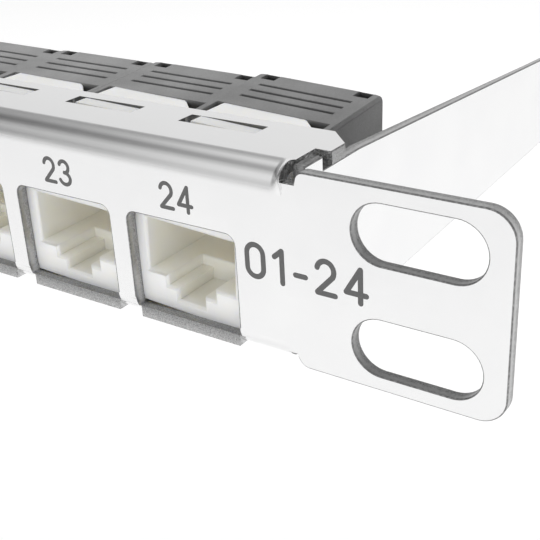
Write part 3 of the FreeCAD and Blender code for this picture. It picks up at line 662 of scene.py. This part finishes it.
MOUTH_HALF_WIDTH = 6.2 * MM
MOUTH_LOW, MOUTH_HIGH = -8.5 * MM, 1.3 * MM
CROWN_END = 4.5 * MM
CROWN_FRONT = 12.3 * MM
CROWN_LOW = 5 * MM
LUG_LOW = 10 * MM
LUG_TOP = HALF_HEIGHT - 0.12 * MM
LUG_BACKWARDS = 0.15 * MM
LUG_SHORTER = 0.5 * MM


def is_mouth(middle, edge):
    """Edges round the front opening of a jack."""
    in_front = middle.y < JACK_FRONT + 0.05 * MM
    return in_front and abs(middle.x) < MOUTH_HALF_WIDTH and MOUTH_LOW < middle.z < MOUTH_HIGH


def is_crown_end(middle, edge):
    """Edges at the right end of the part that shows behind the flange."""
    return middle.x > CROWN_END and middle.y > CROWN_FRONT and middle.z > CROWN_LOW


def jack_bodies(plastic):
    """The white bodies: latch lug raised into its slot, rounded mouth and crown."""
    work = cad_shape("jack_housing_01")
    centred(work, PORTS[0])
    for vertex in work.verts:
        if vertex.co.z > LUG_LOW:
            vertex.co.z = LUG_TOP
            vertex.co.y += LUG_BACKWARDS
            if vertex.co.x < 0:
                vertex.co.x += LUG_SHORTER
    work.normal_update()
    round_edges(work, sharp_edges(work, wanted=is_mouth), 0.42 * MM, segments=4)
    round_edges(work, sharp_edges(work, wanted=is_crown_end), 0.8 * MM, segments=5)
    round_edges(work, sharp_edges(work), 0.2 * MM, segments=3)
    mesh = make_mesh("jack_body", work, [plastic])
    for number, place in enumerate(PORTS, start=1):
        node = f"jack_housing_{number:02d}"
        roll = math.radians(port_lean(number)[0])
        make_piece(f"jack_body_{number:02d}", mesh, FRAME_BODY, [node],
                   Matrix.Translation((place, 0, 0)) @ Matrix.Rotation(roll, 4, "Y"))


CAP_PIVOT_DEPTH = 18.5 * MM
CAP_ROUND = 1.2 * MM
PARTING_DROP = 0.75 * MM
POCKET_MIDDLE = 6.8 * MM


def cap_place(number, place):
    roll, pitch = (math.radians(turn) for turn in port_lean(number)[1:3])
    shift = port_lean(number)[3] * MM
    pivot = Matrix.Translation((0, CAP_PIVOT_DEPTH, 0))
    lean = Matrix.Rotation(roll, 4, "Y") @ Matrix.Rotation(pitch, 4, "X")
    return Matrix.Translation((place + shift, 0, 0)) @ pivot @ lean @ pivot.inverted()


def widen_pockets(work, high):
    """Open the catch pockets a little towards the cap's corners."""
    for vertex in work.verts:
        spot = vertex.co
        in_pocket = 5 * MM < abs(spot.x) < 8 * MM and high.y - 2.5 * MM < spot.y < high.y - 0.4 * MM
        if in_pocket and spot.z > high.z - 2.6 * MM:
            spot.x += math.copysign(0.12 * MM, abs(spot.x) - POCKET_MIDDLE) * math.copysign(1, spot.x)
            spot.y += 0.25 * MM if spot.y > high.y - 1.4 * MM else -0.1 * MM


GROOVE_MIDDLES = (21.8 * MM, 23.85 * MM, 25.9 * MM)


def widen_grooves(work, top):
    """Open the grip grooves a little; their edges are worn."""
    for vertex in work.verts:
        spot = vertex.co
        for middle in GROOVE_MIDDLES:
            if abs(spot.y - middle) < 0.3 * MM and spot.z > top - 0.6 * MM and abs(spot.x) < 6.6 * MM:
                spot.y += math.copysign(0.11 * MM, spot.y - middle)
                spot.x += math.copysign(0.25 * MM, spot.x)
                break


def add_parting_line(work, level, reach):
    """A fine groove round the outside of the cap, where the mould's halves met."""
    for step in (-0.07, 0, 0.07):
        bmesh.ops.bisect_plane(work, geom=[*work.verts, *work.edges, *work.faces],
                               plane_co=(0, 0, level + step * MM), plane_no=(0, 0, 1))
    for vertex in work.verts:
        if abs(vertex.co.z - level) < 0.01 * MM and abs(vertex.co.x) > reach - 0.05 * MM:
            vertex.co.x -= math.copysign(0.09 * MM, vertex.co.x)


def cap_shells(plastic):
    """The black caps: pockets, grooves and a parting line outside, and painted shade inside."""
    low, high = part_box("termination_cap_01")
    half = (high.x - low.x) / 2
    middle, tall = (low.z + high.z) / 2, (high.z - low.z) / 2
    work = cad_shape("termination_cap_01")
    centred(work, PORTS[0])
    widen_pockets(work, high)
    widen_grooves(work, high.z)
    work.normal_update()
    round_edges(work, sharp_edges(work), 0.12 * MM, segments=2)
    add_parting_line(work, high.z - PARTING_DROP, half)
    work.normal_update()
    mesh = make_mesh("cap_shell", work, [plastic])

    # Points inside the cap, off its outer skin and sides, get painted shade.
    def inner_shade(point):
        behind = point.y - (high.y - CAP_ROUND)
        above = abs(point.z - middle) - (tall - CAP_ROUND)
        if behind > 0 and above > 0:
            outer = math.hypot(behind, above) > CAP_ROUND - 0.1 * MM
        else:
            outer = max(behind, above) > CAP_ROUND - 0.1 * MM
        return 1.0 if outer or abs(point.x) > half - 0.2 * MM else 0.22
    paint(mesh, "inner_shade", inner_shade)
    for number, place in enumerate(PORTS, start=1):
        node = f"termination_cap_{number:02d}"
        make_piece(f"cap_shell_{number:02d}", mesh, f"cap_{number:02d}", [node],
                   cap_place(number, place))


def finish_node(node, material, radius):
    """Keep a CAD node, with rounded edges and a material of its own."""
    thing = NODES[node]
    thing.data.materials.clear()
    thing.data.materials.append(material)
    weld = thing.modifiers.new("weld", "WELD")
    weld.merge_threshold = WELD
    soften = thing.modifiers.new("soft_edges", "BEVEL")
    soften.width = radius
    soften.segments = 2
    soften.limit_method = "ANGLE"
    soften.angle_limit = math.radians(35)
    thing.modifiers.new("even_shading", "WEIGHTED_NORMAL").keep_sharp = False


# ---------------------------------------------------------------- printed numerals

# Each glyph is a list of strokes on a grid 0..1 high. A stroke is a list of points.

def arc(centre_x, centre_y, radius_x, radius_y, start, end, count=14):
    points = []
    for step in range(count + 1):
        turn = math.radians(start + (end - start) * step / count)
        points.append((centre_x + radius_x * math.cos(turn), centre_y + radius_y * math.sin(turn)))
    return points


GLYPHS = {
    "0": (0.60, [arc(0.30, 0.70, 0.27, 0.28, 0, 180), arc(0.30, 0.28, 0.27, 0.27, 180, 360),
                 [(0.03, 0.70), (0.03, 0.28)], [(0.57, 0.28), (0.57, 0.70)]]),
    "1": (0.36, [[(0.03, 0.76), (0.27, 0.97)], [(0.27, 0.97), (0.27, 0.0)]]),
    "2": (0.58, [arc(0.29, 0.70, 0.26, 0.28, 168, -32) + [(0.03, 0.03)], [(0.03, 0.02), (0.58, 0.02)]]),
    "3": (0.58, [arc(0.28, 0.74, 0.24, 0.24, 160, -90), arc(0.28, 0.26, 0.28, 0.25, 90, -160)]),
    "4": (0.62, [[(0.45, 0.0), (0.45, 0.97)], [(0.45, 0.97), (0.02, 0.25)], [(0.02, 0.25), (0.62, 0.25)]]),
    "5": (0.58, [[(0.52, 0.97), (0.12, 0.97)], [(0.12, 0.97), (0.06, 0.52)],
                 arc(0.28, 0.32, 0.27, 0.31, 140, -155)]),
    "6": (0.58, [arc(0.33, 0.66, 0.29, 0.32, 55, 180), arc(0.30, 0.31, 0.27, 0.30, 0, 360)]),
    "7": (0.56, [[(0.02, 0.97), (0.55, 0.97)], [(0.55, 0.97), (0.20, 0.0)]]),
    "8": (0.58, [arc(0.29, 0.75, 0.22, 0.23, -90, 270), arc(0.29, 0.27, 0.27, 0.26, 90, 450)]),
    "9": (0.58, [arc(0.28, 0.69, 0.27, 0.30, 0, 360), arc(0.25, 0.34, 0.29, 0.32, 0, -125)]),
    "-": (0.36, [[(0.02, 0.36), (0.34, 0.36)]]),
}
# Gaps between letters as shares of their height, and how far the ink stands off the steel.
NUMBER_GAP = 0.25
RANGE_GAP = 0.318
INK_LIFT = 0.012 * MM
RANGE_LEFT = EAR_START - 4.75 * MM


def text_width(text, height, gap):
    return (sum(GLYPHS[letter][0] for letter in text) + gap * (len(text) - 1)) * height


def add_stroke(work, points, half, lift):
    """A flat ribbon of ink along a line of points, with round ends."""
    def rib(point, across):
        return [work.verts.new((point.x + across.x * side, -lift, point.y + across.y * side))
                for side in (half, -half)]
    flat = [Vector(point) for point in points]
    ribs = []
    for index, point in enumerate(flat):
        before = flat[max(index - 1, 0)]
        after = flat[min(index + 1, len(flat) - 1)]
        first = (point - before).normalized() if index else (after - point).normalized()
        second = (after - point).normalized() if index < len(flat) - 1 else first
        along = (first + second).normalized()
        across = Vector((-along.y, along.x)) / max(0.6, along.dot(first))
        ribs.append(rib(point, across))
    for left, right in zip(ribs, ribs[1:]):
        work.faces.new((left[0], left[1], right[1], right[0]))
    for end, ahead in ((0, flat[0] - flat[1]), (-1, flat[-1] - flat[-2])):
        aim = math.atan2(ahead.y, ahead.x)
        fan = [work.verts.new((flat[end].x + half * math.cos(aim + turn), -lift,
                               flat[end].y + half * math.sin(aim + turn)))
               for turn in (math.radians(step) for step in range(-90, 91, 30))]
        work.faces.new(fan)


def add_text(work, text, left, bottom, height, stroke, gap):
    pen = left
    for letter in text:
        width, strokes = GLYPHS[letter]
        for index, points in enumerate(strokes):
            line = [(pen + x * height, bottom + y * height) for x, y in points]
            add_stroke(work, line, stroke / 2, INK_LIFT * (1 + 0.2 * index))
        pen += (width + gap) * height


def printed_numbers(ink):
    """A number over each port, and the range of the ports beside the last one."""
    work = bmesh.new()
    height, stroke, bottom = 2.95 * MM, 0.46 * MM, 4.0 * MM
    for number, place in enumerate(PORTS, start=1):
        text = str(number)
        left = place - text_width(text, height, NUMBER_GAP) / 2
        add_text(work, text, left, bottom, height, stroke, NUMBER_GAP)
    height, stroke, bottom = 3.77 * MM, 0.6 * MM, -1.6 * MM
    add_text(work, "01-24", RANGE_LEFT, bottom, height, stroke, RANGE_GAP)
    work.normal_update()
    for face in work.faces:
        if face.normal.y > 0:
            face.normal_flip()
    mesh = make_mesh("port_numbers", work, [ink])
    return make_piece("port_numbers", mesh, FRAME_BODY)


# ---------------------------------------------------------------- studio

CAMERA_PLACE = Vector((269.26, -75.94, 45.05)) * MM


def look_matrix(azimuth, elevation, roll, place):
    a, e, r = (math.radians(x) for x in (azimuth, elevation, roll))
    ahead = Vector((-math.sin(a) * math.cos(e), math.cos(a) * math.cos(e), -math.sin(e)))
    right = Vector((math.cos(a), math.sin(a), 0))
    above = right.cross(ahead)
    right = right * math.cos(r) + above * math.sin(r)
    above = right.cross(ahead)
    turn = Matrix((right, above, -ahead)).transposed().to_4x4()
    return Matrix.Translation(place) @ turn


def add_camera():
    data = bpy.data.cameras.new("camera")
    data.lens = 67.05
    data.sensor_width = 36
    data.clip_start = 0.005
    data.clip_end = 50
    camera = bpy.data.objects.new("camera", data)
    camera.matrix_world = look_matrix(azimuth=35.517, elevation=25.97, roll=-3.147, place=CAMERA_PLACE)
    bpy.context.scene.collection.objects.link(camera)
    bpy.context.scene.camera = camera


def add_floor():
    """A pale floor, a little darker towards the front."""
    bpy.ops.mesh.primitive_plane_add(size=12, location=(0, 0, -0.15))
    floor = bpy.context.object
    floor.name = "studio_floor"
    n = Nodes("studio_floor")
    where = n.add("ShaderNodeSeparateXYZ")
    n.link(n.add("ShaderNodeTexCoord").outputs["Object"], where.inputs[0])
    tone = n.math("MULTIPLY", n.noise(0.002, detail=2), 0.02)
    pale = n.remap(where.outputs["Y"], -0.45, 0.06, 0.75, 0.84)
    floor.data.materials.append(n.finish(Base_Color=n.math("ADD", pale, tone), Roughness=0.9))
    n.shader.inputs["Specular IOR Level"].default_value = 0.0
    n.shader.inputs["Emission Color"].default_value = (1, 1, 1, 1)
    n.shader.inputs["Emission Strength"].default_value = 0.24


# Brightness of the studio by angle, from the rear horizon (0) over the top to the front (180):
# once along the middle of the panel and once towards its far ends.
STUDIO_MIDDLE = [
    (0, 0.90), (25, 0.88), (34, 0.42), (46, 0.40), (60, 0.58), (73, 0.80), (85, 0.74), (96, 0.46),
    (107, 0.40), (121, 0.66), (134, 0.86), (147, 0.88), (158, 0.74), (170, 0.66), (179, 0.76)]
STUDIO_ENDS = [
    (0, 0.90), (25, 0.88), (34, 0.38), (46, 0.34), (60, 0.36), (73, 0.32), (85, 0.20), (96, 0.15),
    (107, 0.22), (121, 0.40), (134, 0.50), (147, 0.42), (158, 0.34), (170, 0.48), (179, 0.66)]
# The change from the one to the other, by how far a direction points sideways.
SIDEWAYS_MIDDLE = 0.56
SIDEWAYS_ENDS = 0.72


def studio_ramp(tree, share, stops):
    ramp = tree.nodes.new("ShaderNodeValToRGB")
    ramp.color_ramp.interpolation = "EASE"
    points = ramp.color_ramp.elements
    while len(points) < len(stops):
        points.new(0.5)
    for point, (degrees, level) in zip(points, stops):
        point.position = degrees / 180
        point.color = (level, level, level, 1)
    tree.links.new(share, ramp.inputs[0])
    return ramp.outputs["Color"]


def add_world():
    world = bpy.data.worlds.new("studio")
    bpy.context.scene.world = world
    world.use_nodes = True
    tree = world.node_tree
    tree.nodes.clear()
    where = tree.nodes.new("ShaderNodeTexCoord")
    parts = tree.nodes.new("ShaderNodeSeparateXYZ")
    angle = tree.nodes.new("ShaderNodeMath")
    angle.operation = "ARCTAN2"
    share = tree.nodes.new("ShaderNodeMath")
    share.operation = "DIVIDE"
    share.inputs[1].default_value = math.pi
    sideways = tree.nodes.new("ShaderNodeMath")
    sideways.operation = "ABSOLUTE"
    ends = tree.nodes.new("ShaderNodeMapRange")
    ends.inputs["From Min"].default_value = SIDEWAYS_MIDDLE
    ends.inputs["From Max"].default_value = SIDEWAYS_ENDS
    blend = tree.nodes.new("ShaderNodeMix")
    blend.data_type = "RGBA"
    back = tree.nodes.new("ShaderNodeBackground")
    out = tree.nodes.new("ShaderNodeOutputWorld")
    tree.links.new(where.outputs["Generated"], parts.inputs[0])
    tree.links.new(parts.outputs["Z"], angle.inputs[0])
    tree.links.new(parts.outputs["Y"], angle.inputs[1])
    tree.links.new(angle.outputs[0], share.inputs[0])
    tree.links.new(parts.outputs["X"], sideways.inputs[0])
    tree.links.new(sideways.outputs[0], ends.inputs["Value"])
    tree.links.new(ends.outputs[0], blend.inputs[0])
    tree.links.new(studio_ramp(tree, share.outputs[0], STUDIO_MIDDLE), blend.inputs[6])
    tree.links.new(studio_ramp(tree, share.outputs[0], STUDIO_ENDS), blend.inputs[7])
    tree.links.new(blend.outputs[2], back.inputs["Color"])
    tree.links.new(back.outputs[0], out.inputs["Surface"])


def add_softbox(name, place, aim, size, power):
    data = bpy.data.lights.new(name, "AREA")
    data.shape = "SQUARE"
    data.size = size
    data.energy = power
    box = bpy.data.objects.new(name, data)
    box.location = place
    box.rotation_mode = "QUATERNION"
    box.rotation_quaternion = (Vector(aim) - Vector(place)).to_track_quat("-Z", "Y")
    box.visible_glossy = False
    bpy.context.scene.collection.objects.link(box)


def build():
    skin, cut = satin_steel(), sheared_steel()
    white, black = white_plastic(), black_plastic()
    rim_metal = rolled_rim()
    panel_sheet(skin, cut, rim_metal)
    arm_sheet("right", skin, cut, rim_metal)
    arm_sheet("left", skin, cut, rim_metal)
    bar_sheet(skin, cut)
    jack_bodies(white)
    cap_shells(black)
    printed_numbers(printed_ink())
    rivet_metal = drawn_metal("rivet_metal", (0.5, 0.5, 0.5), (0.68, 0.68, 0.67), rough=0.28)
    finish_node("bar_rivets", rivet_metal, 0.06 * MM)
    finish_node("circuit_boards", laminate(), 0.04 * MM)
    finish_node("idc_blocks", block_plastic(), 0.08 * MM)
    blade_metal = drawn_metal("blade_metal", (0.55, 0.53, 0.48), (0.75, 0.73, 0.68), rough=0.22)
    finish_node("idc_blades", blade_metal, 0.04 * MM)
    contact_gold = drawn_metal("contact_gold", (0.72, 0.5, 0.18), (0.95, 0.72, 0.32), rough=0.16)
    finish_node("contact_wires", contact_gold, 0.04 * MM)


build()
add_camera()
add_floor()
add_world()
add_softbox("overhead", (0.2, 0.1, 1.4), (0.1, 0.05, 0), 1.6, 13)
add_softbox("front_fill", (0.9, -1.5, 0.25), (0.1, 0, 0), 1.0, 4.5)
bpy.context.scene.view_settings.view_transform = "Standard"
